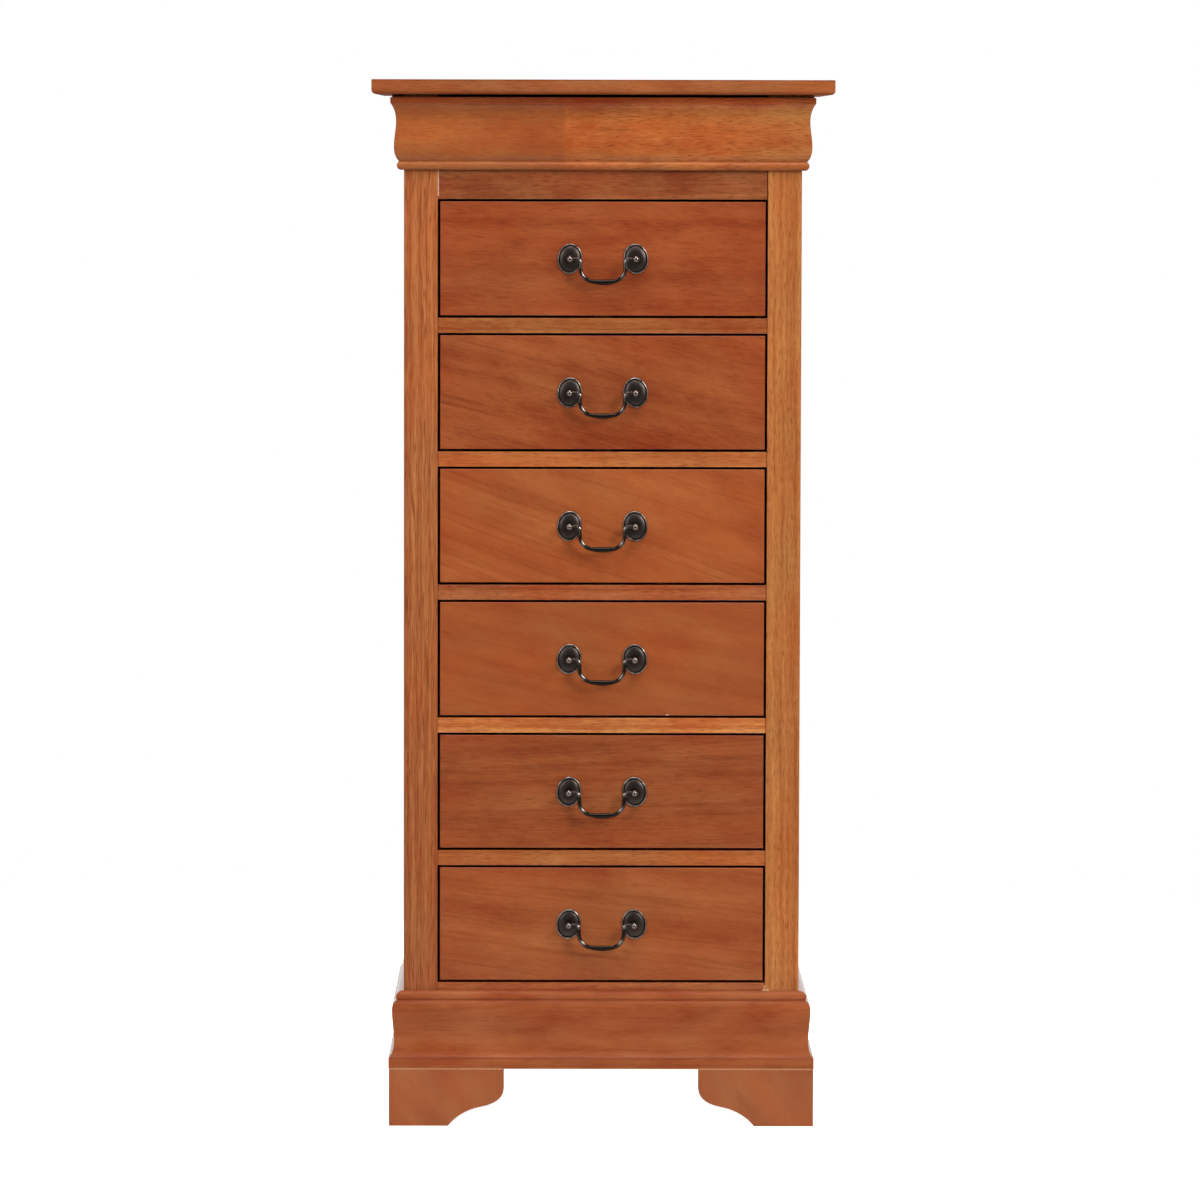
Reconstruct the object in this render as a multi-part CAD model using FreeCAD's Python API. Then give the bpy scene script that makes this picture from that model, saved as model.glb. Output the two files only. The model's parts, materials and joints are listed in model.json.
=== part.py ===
import FreeCAD, Part
import os
from math import cos, radians, sin, tan

# Tall narrow chest of drawers: a post-and-panel case on bracket feet, six inset drawers with bail pulls,
# and a shallow drawer whose front is the crown moulding. Each drawer slides on nylon tacks at its front
# rail and on a wooden centre rail behind it. Millimetres, +Z up, the front faces -Y, and the origin is on
# the floor under the middle of the top.

Vector = FreeCAD.Vector

# Case
case_width = 488.0  # over the outer faces of the posts
case_depth = 360.0  # from the post faces to the back
drawer_count = 6
opening_height = 145.7
rail_height = 18.5
rail_depth = 40.0
rail_setback = 0.8  # rails lie this far behind the post faces
bottom_rail_show = 9.8  # part of the lowest rail that shows above the base
top_rail_show = 35.3  # part of the top rail that shows below the crown
post_width = 41.5
post_depth = 26.0
post_round = 1.2
side_thickness = 15.0
back_thickness = 5.0
floor_thickness = 15.0  # board that closes the case underneath

# Top
top_thickness = 18.0
top_overhang = 38.8  # past the post faces at the front and past the case at both sides
top_back_overhang = 6.0
top_lower_round = 5.0
top_upper_round = 1.2

# Crown moulding: out is measured from the case, levels from its lower edge or down from its upper edge
crown_height = 89.0
crown_gap = 3.5  # between the crown drawer and the underside of the top
crown_lap = 5.0  # crown hangs this far in front of the top rail
crown_bead_root = 4.0
crown_bead_out = 8.6
crown_bead_height = 10.2
crown_quirk_out = 6.3
crown_quirk_height = 0.9
crown_shoulder_out = 10.2
crown_shoulder_level = 17.2
crown_belly_out = 12.0
crown_belly_level = 27.0
crown_cove_out = 9.6
crown_cove_drop = 26.0
crown_rise_out = 11.6
crown_rise_drop = 15.8
crown_fillet_out = 16.4
crown_fillet_height = 7.0
crown_neck_inset = 2.2  # the side crowns are stepped in above the fillet, where they meet the top
crown_slide_gap = 0.3  # between the crown drawer and what it closes against

# Base moulding, measured in the same way
base_height = 95.5
base_out = 18.6
base_fillet_height = 13.5
base_cove_out = 14.2
base_cove_level = 19.7
base_waist_out = 12.0
base_waist_level = 31.0
base_belly_out = 14.4
base_belly_drop = 24.0
base_shoulder_out = 13.0
base_shoulder_drop = 15.4
base_quirk_out = 8.4
base_quirk_drop = 11.2
base_bead_out = 9.0
base_bead_drop = 4.5
base_bead_root = 1.5

# Bracket feet: each outline point is (along the foot, up)
foot_height = 71.0
foot_length = 142.0
foot_toe = 73.0
foot_thickness = 20.0
foot_inset = 0.5  # behind the lower edge of the base moulding
foot_cove = [(18.0, 15.5), (33.0, 22.0)]  # from the toe
foot_nose = [(20.0, 26.0), (5.6, 34.0), (0.0, 46.0)]  # back from the foot's end
foot_back_board = 85.0
foot_block = 40.0
foot_block_lift = 8.0

# Joints between the boards of the case
tongue_thickness = 6.0
tongue_length = 8.0
tenon_length = 20.0
tenon_depth = 10.0
tenon_shoulder = 3.0
back_rabbet = 8.0
screw_diameter = 3.2
screw_clearance = 0.1  # all round, in the holes
screw_length = 20.0
screw_head_diameter = 7.0
screw_head_height = 2.2
screw_slot_width = 1.0
screw_slot_depth = 1.2
screw_rows = 6
screw_margin = 45.0
floor_screw_place = 115.0
tip_hole_diameter = 3.0  # pilot holes in the rear edge of the top for a tip restraint
tip_hole_depth = 30.0
tip_hole_spacing = 64.0

# Drawers
drawer_gap = 3.0  # around each drawer front
front_thickness = 18.0
front_round = 1.0
drawer_side_thickness = 12.0
drawer_side_height = 115.0
crown_drawer_side_height = 58.0
drawer_back_thickness = 12.0
drawer_back_inset = 10.0  # from the rear ends of the sides
drawer_rear_room = 12.0  # between those ends and the back of the case
drawer_bottom_thickness = 5.0
groove_depth = 5.0
groove_height = 10.0  # of the bottom's groove above the lower edge of the sides
tail_pitch = 28.0
tail_root = 15.0
tail_length = 12.0
tail_slope = 8.0
running_clearance = 0.3
tack_diameter = 14.0
tack_place = 30.0  # behind the post faces

# Centre rails and the strips under each drawer that straddle them
centre_rail_width = 20.0
centre_rail_height = 24.0
centre_rail_notch = 15.0
strip_width = 14.0
strip_side_clearance = 0.5
strip_lift = 1.0  # above the lower edge of the drawer sides

# Pulls: heights are measured out from the drawer front
pull_spacing = 81.0
plate_width = 29.9
plate_height = 36.8
plate_lean = 8.0  # each plate leans inwards at its top
plate_edge = 1.4
plate_rim = 2.6
plate_rim_width = 1.9
plate_groove = 1.2  # height left at the foot of the rim
plate_shoulder = 2.1
plate_shoulder_width = 1.5
plate_crown = 3.0
plate_seat_radius = 5.0
bail_standoff = 14.0
post_collar_radius = 4.9
post_collar_height = 1.6
post_radius = 3.9
post_quirk_radius = 3.1
post_quirk_width = 1.2
ball_radius = 4.3
shank_radius = 2.0
shank_tail = 5.0  # past the inside of the drawer front
shank_clearance = 0.4
nut_flats = 7.0
nut_height = 3.2
nut_clearance = 0.05
bail_span = 55.0
bail_drop = 28.5
bail_elbow = 4.5
bail_bend = 16.5
bail_bow = 8.0  # slope in degrees where the bowed grip meets the bends
bail_pin_radius = 2.0
bail_arm_radius = 2.55
bail_grip_radius = 3.4
bail_pin_clearance = 0.15
bail_pin_recess = 0.4  # pin ends stop this far inside the post
bail_collar_radius = 3.0
bail_collar_width = 1.4
bail_collar_gap = 0.4  # between each collar and its post

# Places that follow from those sizes
top_depth = top_overhang + case_depth + top_back_overhang
front_y = top_overhang - top_depth / 2
back_y = front_y + case_depth
back_inner_y = back_y - back_thickness
case_x = case_width / 2
side_inner_x = case_x - side_thickness
opening_x = case_x - post_width
rail_front_y = front_y + rail_setback
rail_back_y = rail_front_y + rail_depth
opening_pitch = opening_height + rail_height
base_top_z = foot_height + base_height
lowest_floor_z = base_top_z + bottom_rail_show
top_rail_z = lowest_floor_z + drawer_count * opening_pitch - rail_height
crown_z = top_rail_z + top_rail_show
crown_floor_z = crown_z + crown_lap
crown_top_z = crown_z + crown_height
top_z = crown_top_z + crown_gap
drawer_floors = [lowest_floor_z + (drawer_count - n) * opening_pitch for n in range(1, drawer_count + 1)]
all_floors = drawer_floors + [crown_floor_z]
drawer_x = opening_x - drawer_gap
drawer_rear_y = back_inner_y - drawer_rear_room
tenon_y = front_y + (post_depth - tenon_depth) / 2
mitre_reach = 2 * max(crown_fillet_out, base_out)
grip_slope = radians(bail_bow)
grip_x = bail_span / 2 - bail_bend * (1 - sin(grip_slope))
grip_bow_radius = grip_x / sin(grip_slope)
near = 0.01  # an edge this close to a face lies on it


def block(x0, x1, y0, y1, z0, z1):
    """Square-edged board between two opposite corners."""
    return Part.makeBox(x1 - x0, y1 - y0, z1 - z0, Vector(x0, y0, z0))


def prism(plan, z0, z1):
    """Upright solid on a plan of (x, y) corners."""
    corners = [Vector(x, y, z0) for x, y in plan]
    return Part.Face(Part.makePolygon(corners + corners[:1])).extrude(Vector(0, 0, z1 - z0))


def rod(radius, start, direction, length):
    return Part.makeCylinder(radius, length, start, direction)


def rounded(shape, radius, wanted):
    """Rounds the edges whose middle point passes the test."""
    return shape.makeFillet(radius, [edge for edge in shape.Edges if wanted(edge.CenterOfMass)])


def mirrored(shape):
    """The same piece on the other side of the chest."""
    return shape.mirror(Vector(0, 0, 0), Vector(1, 0, 0))


def group(solids):
    return Part.makeCompound(list(solids))


def outline(runs, to_space):
    """Face inside a closed outline of flat points. A point ends a straight run, a pair of points is an arc
    through the first to the second, and a list of points is a smooth curve through all of them."""
    edges = []
    last = runs[0]
    for run in runs[1:] + runs[:1]:
        if isinstance(run, list):
            curve = Part.BSplineCurve()
            curve.interpolate([to_space(*point) for point in [last] + run])
            last = run[-1]
        elif isinstance(run[0], tuple):
            curve = Part.Arc(to_space(*last), to_space(*run[0]), to_space(*run[1]))
            last = run[1]
        else:
            curve = Part.LineSegment(to_space(*last), to_space(*run))
            last = run
        edges.append(curve.toShape())
    return Part.Face(Part.Wire(edges))


# Mouldings

def crown_runs(with_neck):
    """Crown section as (out, up): bead, quirk, a long ogee and a square fillet."""
    ogee = [
        (crown_shoulder_out, crown_shoulder_level),
        (crown_belly_out, crown_belly_level),
        (crown_cove_out, crown_height - crown_cove_drop),
        (crown_rise_out, crown_height - crown_rise_drop),
        (crown_fillet_out, crown_height - crown_fillet_height),
    ]
    runs = [
        (0.0, 0.0),
        (crown_bead_root, 0.0),
        ((crown_bead_out, crown_bead_height / 2), (crown_quirk_out, crown_bead_height)),
        (crown_quirk_out, crown_bead_height + crown_quirk_height),
        ogee,
        (crown_fillet_out, crown_height),
    ]
    if with_neck:
        neck_out = crown_fillet_out - crown_neck_inset
        runs += [(neck_out, crown_height), (neck_out, crown_height + crown_gap)]
    return runs + [(0.0, runs[-1][1])]


def base_runs():
    """Base section as (out, up): square fillet, a cove into a long belly, a quirk and a quarter bead."""
    ogee = [
        (base_cove_out, base_cove_level),
        (base_waist_out, base_waist_level),
        (base_belly_out, base_height - base_belly_drop),
        (base_shoulder_out, base_height - base_shoulder_drop),
        (base_quirk_out, base_height - base_quirk_drop),
    ]
    bead = ((base_bead_out, base_height - base_bead_drop), (base_bead_root, base_height))
    return [(0.0, 0.0), (base_out, 0.0), (base_out, base_fillet_height), ogee, bead, (0.0, base_height)]


def front_moulding(runs, z, gap):
    """Moulding across the front, mitred at both ends. It stands off the posts and the mitres by the gap."""
    face_y = front_y - gap
    reach = case_x + mitre_reach
    face = outline(runs, lambda out, up: Vector(-reach, face_y - out, z + up))
    inner_x = case_x - gap
    outer_x = inner_x + mitre_reach
    outer_y = face_y - mitre_reach
    plan = [(-inner_x, face_y), (-outer_x, outer_y), (outer_x, outer_y), (inner_x, face_y)]
    return face.extrude(Vector(2 * reach, 0, 0)).common(prism(plan, foot_height, top_z))


def left_moulding(runs, z):
    """Moulding along the left side, mitred at the front and square at the back."""
    start_y = front_y - mitre_reach
    face = outline(runs, lambda out, up: Vector(-case_x - out, start_y, z + up))
    outer_x = -case_x - mitre_reach
    plan = [(-case_x, front_y), (outer_x, start_y), (outer_x, back_y), (-case_x, back_y)]
    return face.extrude(Vector(0, back_y - start_y, 0)).common(prism(plan, foot_height, top_z))


# Case

def top_panel():
    x = case_x + top_overhang
    y0 = front_y - top_overhang
    y1 = back_y + top_back_overhang
    slab = block(-x, x, y0, y1, top_z, top_z + top_thickness)
    middle_z = top_z + top_thickness / 2
    before_back = y1 - near
    lower_z = top_z + near
    upper_z = top_z + top_thickness - near
    slab = rounded(slab, top_lower_round, lambda p: p.z < lower_z and p.y < before_back)
    slab = rounded(slab, top_upper_round, lambda p: p.z > upper_z and p.y < before_back)
    for side in (-1, 1):
        start = Vector(side * tip_hole_spacing / 2, y1, middle_z)
        slab = slab.cut(rod(tip_hole_diameter / 2, start, Vector(0, -1, 0), tip_hole_depth))
    return slab


def rail_tenon(z0, z1):
    """Tenons of one rail, in one bar that runs through to both ends."""
    reach = opening_x + tenon_length
    return block(-reach, reach, tenon_y, tenon_y + tenon_depth, z0 + tenon_shoulder, z1 - tenon_shoulder)


def front_rail(z0, z1):
    """Rail between the posts, tenoned at both ends, with a notch for the centre rail behind it."""
    rail = block(-opening_x, opening_x, rail_front_y, rail_back_y, z0, z1).fuse(rail_tenon(z0, z1))
    return rail.cut(centre_rail(z1)).removeSplitter()


def rail_spans():
    """(lower, upper) level of every rail: one under each drawer, then the top rail."""
    return [(floor - rail_height, floor) for floor in drawer_floors] + [(top_rail_z, crown_floor_z)]


def tongue():
    """Tongue along the front edge of the left side panel."""
    x0 = -case_x + (side_thickness - tongue_thickness) / 2
    y1 = front_y + post_depth
    return block(x0, x0 + tongue_thickness, y1 - tongue_length, y1, foot_height, top_z)


def left_post():
    post = block(-case_x, -opening_x, front_y, front_y + post_depth, foot_height, top_z)
    post = rounded(post, post_round, lambda p: p.x < -case_x + near and p.y < front_y + near)
    post = post.cut(tongue())
    for z0, z1 in rail_spans():
        post = post.cut(rail_tenon(z0, z1))
    return post


def screw_places():
    """(x, z) of every back screw: down both sides, into each centre rail and into the floor board."""
    side_x = side_inner_x + back_rabbet / 2
    step = (top_z - foot_height - 2 * screw_margin) / (screw_rows - 1)
    levels = [foot_height + screw_margin + step * row for row in range(screw_rows)]
    places = [(side * side_x, z) for side in (-1, 1) for z in levels]
    places += [(0.0, centre_rail_top(floor) - centre_rail_height / 2) for floor in all_floors]
    return places + [(side * floor_screw_place, foot_height + floor_thickness / 2) for side in (-1, 1)]


def screw_shank(x, z, clearance):
    radius = screw_diameter / 2 + clearance
    return rod(radius, Vector(x, back_y, z), Vector(0, -1, 0), screw_length + clearance)


def back_screw(x, z):
    """Pan head screw with a cross slot, its head on the back panel."""
    head = rod(screw_head_diameter / 2, Vector(x, back_y, z), Vector(0, 1, 0), screw_head_height)
    tip_y = back_y + screw_head_height
    head = rounded(head, screw_head_height / 2, lambda p: p.y > tip_y - near)
    reach = screw_head_diameter / 4
    half = screw_slot_width / 2
    slot_y = tip_y - screw_slot_depth
    head = head.cut(block(x - reach, x + reach, slot_y, tip_y, z - half, z + half))
    head = head.cut(block(x - half, x + half, slot_y, tip_y, z - reach, z + reach))
    return head.fuse(screw_shank(x, z, 0.0))


def drilled(board):
    """The board with a hole for every back screw that enters it."""
    for x, z in screw_places():
        board = board.cut(screw_shank(x, z, screw_clearance))
    return board


def left_side_panel():
    y0 = front_y + post_depth
    panel = block(-case_x, -side_inner_x, y0, back_y, foot_height, top_z).fuse(tongue())
    rabbet_x = -side_inner_x - back_rabbet
    panel = panel.cut(block(rabbet_x, -side_inner_x, back_inner_y, back_y, foot_height, top_z))
    return drilled(panel).removeSplitter()


def back_panel():
    x = side_inner_x + back_rabbet
    return drilled(block(-x, x, back_inner_y, back_y, foot_height, top_z))


def case_floor():
    y0 = front_y + post_depth
    z1 = foot_height + floor_thickness
    return drilled(block(-side_inner_x, side_inner_x, y0, back_inner_y, foot_height, z1))


def centre_rail_top(floor):
    """The drawer bottom slides just above this level."""
    return floor + drawer_gap + groove_height - running_clearance


def centre_rail(floor):
    z1 = centre_rail_top(floor)
    half = centre_rail_width / 2
    return block(-half, half, rail_back_y - centre_rail_notch, back_inner_y, z1 - centre_rail_height, z1)


def glide_tack(side, floor):
    place = Vector(side * (drawer_x - drawer_side_thickness / 2), front_y + tack_place, floor)
    return rod(tack_diameter / 2, place, Vector(0, 0, 1), drawer_gap - running_clearance)


# Feet

def foot_runs():
    """Bracket foot as (along, up)."""
    curve = [(foot_toe + along, up) for along, up in foot_cove]
    curve += [(foot_length - back, up) for back, up in foot_nose]
    return [(0.0, 0.0), (foot_toe, 0.0), curve, (foot_length, foot_height), (0.0, foot_height)]


def left_foot(at_back):
    """Side bracket, front bracket or plain back board, and the glue block in their corner."""
    corner_x = -case_x - base_out + foot_inset
    corner_y = back_y if at_back else front_y - base_out + foot_inset
    way = -1 if at_back else 1
    inner_x = corner_x + foot_thickness
    inner_y = corner_y + way * foot_thickness
    far_y = corner_y + way * foot_length
    side_face = outline(foot_runs(), lambda along, up: Vector(corner_x, corner_y + way * along, up))
    side = side_face.extrude(Vector(foot_thickness, 0, 0))
    if at_back:
        cross = block(inner_x, corner_x + foot_back_board, inner_y, corner_y, 0, foot_height)
    else:
        cross_face = outline(foot_runs(), lambda along, up: Vector(corner_x + along, corner_y, up))
        cross = cross_face.extrude(Vector(0, foot_thickness, 0))
        far_x = corner_x + foot_length
        corner = [(corner_x, corner_y), (inner_x, inner_y)]
        side = side.common(prism(corner + [(inner_x, far_y), (corner_x, far_y)], 0, foot_height))
        cross = cross.common(prism(corner + [(far_x, inner_y), (far_x, corner_y)], 0, foot_height))
    near_y, deep_y = sorted((inner_y, inner_y + way * foot_block))
    glue = block(inner_x, inner_x + foot_block, near_y, deep_y, foot_block_lift, foot_height)
    return group([side, cross, glue])


# Drawer boxes

def left_drawer_side(face_y, z0, height):
    """Side board with dovetails into the front, a groove for the bottom and a dado for the back."""
    root_y = face_y + front_thickness
    tip_y = root_y - tail_length
    count = max(1, round(height / tail_pitch))
    root = tail_root / 2
    tip = root + tail_length * tan(radians(tail_slope))
    corners = [(drawer_rear_y, z0), (root_y, z0)]
    for tail in range(count):
        middle = z0 + height * (tail + 0.5) / count
        corners += [(root_y, middle - root), (tip_y, middle - tip)]
        corners += [(tip_y, middle + tip), (root_y, middle + root)]
    corners += [(root_y, z0 + height), (drawer_rear_y, z0 + height)]
    face = outline(corners, lambda y, z: Vector(-drawer_x, y, z))
    board = face.extrude(Vector(drawer_side_thickness, 0, 0))
    inner_x = -drawer_x + drawer_side_thickness
    bottom_z = z0 + groove_height
    top_of_bottom = bottom_z + drawer_bottom_thickness
    board = board.cut(block(inner_x - groove_depth, inner_x, root_y, drawer_rear_y, bottom_z, top_of_bottom))
    back_y1 = drawer_rear_y - drawer_back_inset
    back_y0 = back_y1 - drawer_back_thickness
    return board.cut(block(inner_x - groove_depth, inner_x, back_y0, back_y1, top_of_bottom, z0 + height))


def drawer_boards(face_y, floor, front_height, side_height):
    """Front, the two sides with the back, and the bottom with its guide strips."""
    z0 = floor + drawer_gap
    root_y = face_y + front_thickness
    inner_x = drawer_x - drawer_side_thickness
    groove_x = inner_x + groove_depth
    bottom_z = z0 + groove_height
    top_of_bottom = bottom_z + drawer_bottom_thickness
    left = left_drawer_side(face_y, z0, side_height)
    sides = [left, mirrored(left)]
    back_y1 = drawer_rear_y - drawer_back_inset
    back_y0 = back_y1 - drawer_back_thickness
    back = block(-groove_x, groove_x, back_y0, back_y1, top_of_bottom, z0 + side_height)
    lip = block(-inner_x, inner_x, root_y - groove_depth, root_y, bottom_z, top_of_bottom)
    bottom = block(-groove_x, groove_x, root_y, drawer_rear_y, bottom_z, top_of_bottom)
    bottom = bottom.fuse(lip).removeSplitter()
    front = block(-drawer_x, drawer_x, face_y, root_y, z0, z0 + front_height)
    front = rounded(front, front_round, lambda p: p.y < face_y + near)
    for piece in sides + [lip]:
        front = front.cut(piece)
    strip_x = centre_rail_width / 2 + strip_side_clearance
    strip_end = back_inner_y - running_clearance
    strip = block(strip_x, strip_x + strip_width, root_y, strip_end, z0 + strip_lift, bottom_z)
    return front, group(sides + [back]), group([bottom, strip, mirrored(strip)])


# Pulls

def pull_plate(side, z):
    """Oval plate: a revolved disc with a raised rim and a pillowed field, drawn out to its height."""
    radius = plate_width / 2
    rim_inner = radius - plate_rim_width
    half_rim = radius - plate_rim_width / 2
    runs = [
        (0.0, 0.0),
        (radius, 0.0),
        (radius, plate_edge),
        ((half_rim, plate_rim), (rim_inner, plate_groove)),
        [(rim_inner - plate_shoulder_width, plate_shoulder), (plate_seat_radius, plate_crown)],
        (0.0, plate_crown),
    ]
    dish = outline(runs, lambda r, out: Vector(r, -out, 0)).revolve(Vector(0, 0, 0), Vector(0, 1, 0), 360)
    stretch = FreeCAD.Matrix()
    stretch.scale(1.0, 1.0, plate_height / plate_width)
    hole = rod(shank_radius + shank_clearance, Vector(0, 0, 0), Vector(0, -1, 0), plate_crown)
    plate = dish.transformGeometry(stretch).cut(hole)
    plate.rotate(Vector(0, 0, 0), Vector(0, 1, 0), -side * plate_lean)
    plate.translate(Vector(side * pull_spacing / 2, front_y, z))
    return plate


def pull_post(side, z):
    """Threaded shank, collar, drilled post and ball tip, turned in one piece."""
    collar_top = plate_crown + post_collar_height
    quirk = bail_standoff + post_radius
    neck = quirk + post_quirk_width
    ball_middle = neck + (ball_radius**2 - post_quirk_radius**2) ** 0.5
    runs = [
        (0.0, -front_thickness - shank_tail),
        (shank_radius, -front_thickness - shank_tail),
        (shank_radius, plate_crown),
        (post_collar_radius, plate_crown),
        (post_collar_radius, collar_top),
        (post_radius, collar_top),
        (post_radius, quirk),
        (post_quirk_radius, quirk),
        (post_quirk_radius, neck),
        ((ball_radius, ball_middle), (0.0, ball_middle + ball_radius)),
    ]
    post = outline(runs, lambda r, out: Vector(r, -out, 0)).revolve(Vector(0, 0, 0), Vector(0, 1, 0), 360)
    hole_start = Vector(-2 * post_radius, -bail_standoff, 0)
    post = post.cut(rod(bail_pin_radius + bail_pin_clearance, hole_start, Vector(1, 0, 0), 4 * post_radius))
    post.translate(Vector(side * pull_spacing / 2, front_y, z))
    return post


def pull_nut(side, z):
    """Hexagon nut on the shank, against the inside of the drawer front."""
    y_axis = Vector(0, 1, 0)
    corner = Vector(nut_flats / 3**0.5, 0, 0)
    corners = [FreeCAD.Rotation(y_axis, 60 * turn).multVec(corner) for turn in range(7)]
    nut = Part.Face(Part.makePolygon(corners)).extrude(y_axis * nut_height)
    nut = nut.cut(rod(shank_radius + nut_clearance, Vector(0, 0, 0), y_axis, nut_height))
    nut.translate(Vector(side * pull_spacing / 2, front_y + front_thickness, z))
    return nut


def shank_hole(side, z):
    place = Vector(side * pull_spacing / 2, front_y, z)
    return rod(shank_radius + shank_clearance, place, Vector(0, 1, 0), front_thickness)


def disc(radius, middle, normal):
    return Part.Face(Part.Wire(Part.makeCircle(radius, middle, normal)))


def right_half_bail():
    """Pin with its collar, elbow, tapered arm and bend of the right half, with the swing axis along X."""
    x_axis = Vector(1, 0, 0)
    y_axis = Vector(0, 1, 0)
    arm_x = bail_span / 2
    elbow_x = arm_x + bail_elbow
    pin_end = pull_spacing / 2 + post_radius - bail_pin_recess
    pin = rod(bail_pin_radius, Vector(elbow_x, 0, 0), x_axis, pin_end - elbow_x)
    collar_x = pull_spacing / 2 - post_radius - bail_collar_gap - bail_collar_width
    collar = rod(bail_collar_radius, Vector(collar_x, 0, 0), x_axis, bail_collar_width)
    collar = rounded(collar, bail_collar_width / 3, lambda p: True)
    elbow = disc(bail_pin_radius, Vector(elbow_x, 0, 0), x_axis)
    elbow = elbow.revolve(Vector(elbow_x, 0, -bail_elbow), y_axis, -90)
    bend_z = grip_bow_radius * (1 - cos(grip_slope)) + bail_bend * cos(grip_slope) - bail_drop
    arm_length = -bail_elbow - bend_z
    down = Vector(0, 0, -1)
    arm = Part.makeCone(bail_pin_radius, bail_arm_radius, arm_length, Vector(arm_x, 0, -bail_elbow), down)
    bend = disc(bail_arm_radius, Vector(arm_x, 0, bend_z), down)
    bend = bend.revolve(Vector(arm_x - bail_bend, 0, bend_z), y_axis, 90 - bail_bow)
    return pin.fuse([collar, elbow, arm, bend])


def grip_section(slope):
    """Round section of the bowed grip where its line has this slope. It is thickest at the middle."""
    middle = Vector(grip_bow_radius * sin(slope), 0, grip_bow_radius * (1 - cos(slope)) - bail_drop)
    swell = (bail_grip_radius - bail_arm_radius) * (1 - (slope / grip_slope) ** 2)
    return Part.Wire(Part.makeCircle(bail_arm_radius + swell, middle, Vector(cos(slope), 0, sin(slope))))


def bail(z):
    """Bail with its bowed and swollen grip, hanging from the posts of one pull."""
    grip = Part.makeLoft([grip_section(grip_slope * step / 4) for step in range(-4, 5)], True)
    half = right_half_bail()
    whole = grip.fuse([half, mirrored(half)]).removeSplitter()
    whole.translate(Vector(0, front_y - bail_standoff, z))
    return whole


# Assembly

def case_pieces():
    base_side = left_moulding(base_runs(), foot_height)
    crown_side = left_moulding(crown_runs(with_neck=True), crown_z)
    post = left_post()
    panel = left_side_panel()
    rails = [front_rail(z0, z1) for z0, z1 in rail_spans()]
    front_foot = left_foot(at_back=False)
    back_foot = left_foot(at_back=True)
    return {
        "top_panel": top_panel(),
        "crown_left": crown_side,
        "crown_right": mirrored(crown_side),
        "post_left": post,
        "post_right": mirrored(post),
        "top_rail": rails[-1],
        "drawer_rails": group(rails[:-1]),
        "side_panel_left": panel,
        "side_panel_right": mirrored(panel),
        "back_panel": back_panel(),
        "back_screws": group(back_screw(x, z) for x, z in screw_places()),
        "case_floor": case_floor(),
        "base_front": front_moulding(base_runs(), foot_height, 0.0),
        "base_left": base_side,
        "base_right": mirrored(base_side),
        "foot_front_left": front_foot,
        "foot_front_right": mirrored(front_foot),
        "foot_back_left": back_foot,
        "foot_back_right": mirrored(back_foot),
        "centre_rails": group(drilled(centre_rail(floor)) for floor in all_floors),
        "glide_tacks": group(glide_tack(side, floor) for floor in all_floors for side in (-1, 1)),
    }


def drawer_pieces(number, floor):
    name = f"drawer_{number}_"
    front_height = opening_height - 2 * drawer_gap
    pull_z = floor + opening_height / 2
    sides = (-1, 1)
    front, box, bottom = drawer_boards(front_y, floor, front_height, drawer_side_height)
    for side in sides:
        front = front.cut(shank_hole(side, pull_z))
    posts = [pull_post(side, pull_z) for side in sides]
    nuts = [pull_nut(side, pull_z) for side in sides]
    return {
        name + "front": front,
        name + "box": box,
        name + "bottom": bottom,
        name + "pull_plates": group(pull_plate(side, pull_z) for side in sides),
        name + "pull_posts": group(posts + nuts),
        name + "bail": bail(pull_z),
    }


def crown_drawer_pieces():
    """The hidden drawer: the crown moulding is glued to its plain front board."""
    front_height = crown_top_z - crown_floor_z - drawer_gap
    face_y = front_y - crown_slide_gap
    front, box, bottom = drawer_boards(face_y, crown_floor_z, front_height, crown_drawer_side_height)
    return {
        "crown_front": front_moulding(crown_runs(with_neck=False), crown_z, crown_slide_gap),
        "crown_drawer_box": group([front] + box.Solids),
        "crown_drawer_bottom": bottom,
    }


pieces = case_pieces()
for number, floor in enumerate(drawer_floors, start=1):
    pieces.update(drawer_pieces(number, floor))
pieces.update(crown_drawer_pieces())

os.makedirs("parts", exist_ok=True)
for name, shape in pieces.items():
    shape.exportStep(f"parts/{name}.step")
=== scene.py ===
import bpy
import numpy as np
import json
from math import cos, radians, sin
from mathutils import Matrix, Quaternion, Vector


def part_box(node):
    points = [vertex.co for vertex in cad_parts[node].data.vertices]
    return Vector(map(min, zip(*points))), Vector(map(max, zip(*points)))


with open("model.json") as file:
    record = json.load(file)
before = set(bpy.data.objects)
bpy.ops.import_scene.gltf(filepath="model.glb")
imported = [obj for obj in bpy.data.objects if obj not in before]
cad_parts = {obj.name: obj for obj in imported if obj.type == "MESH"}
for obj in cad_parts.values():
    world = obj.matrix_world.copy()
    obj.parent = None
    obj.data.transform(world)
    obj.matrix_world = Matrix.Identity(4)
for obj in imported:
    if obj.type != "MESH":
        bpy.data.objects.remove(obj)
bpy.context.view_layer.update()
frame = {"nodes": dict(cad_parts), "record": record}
nodes = frame["nodes"]


# Corner posts
# Straight uprights of solid wood that take the tenons of every rail, with a small rounding along their edges.
# They are stained red-brown and lacquered, and each is from another board; the left one is set darker.

def linear(code):
    """sRGB hex colour as linear RGBA."""
    parts = np.array([int(code[i:i + 2], 16) for i in (1, 3, 5)]) / 255
    parts = np.where(parts <= 0.04045, parts / 12.92, ((parts + 0.055) / 1.055) ** 2.4)
    return (*parts.tolist(), 1.0)


def tint(middle, factors):
    """A linear colour times one factor per channel, as RGBA."""
    return (*(np.array(middle[:3]) * factors).tolist(), 1.0)


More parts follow.
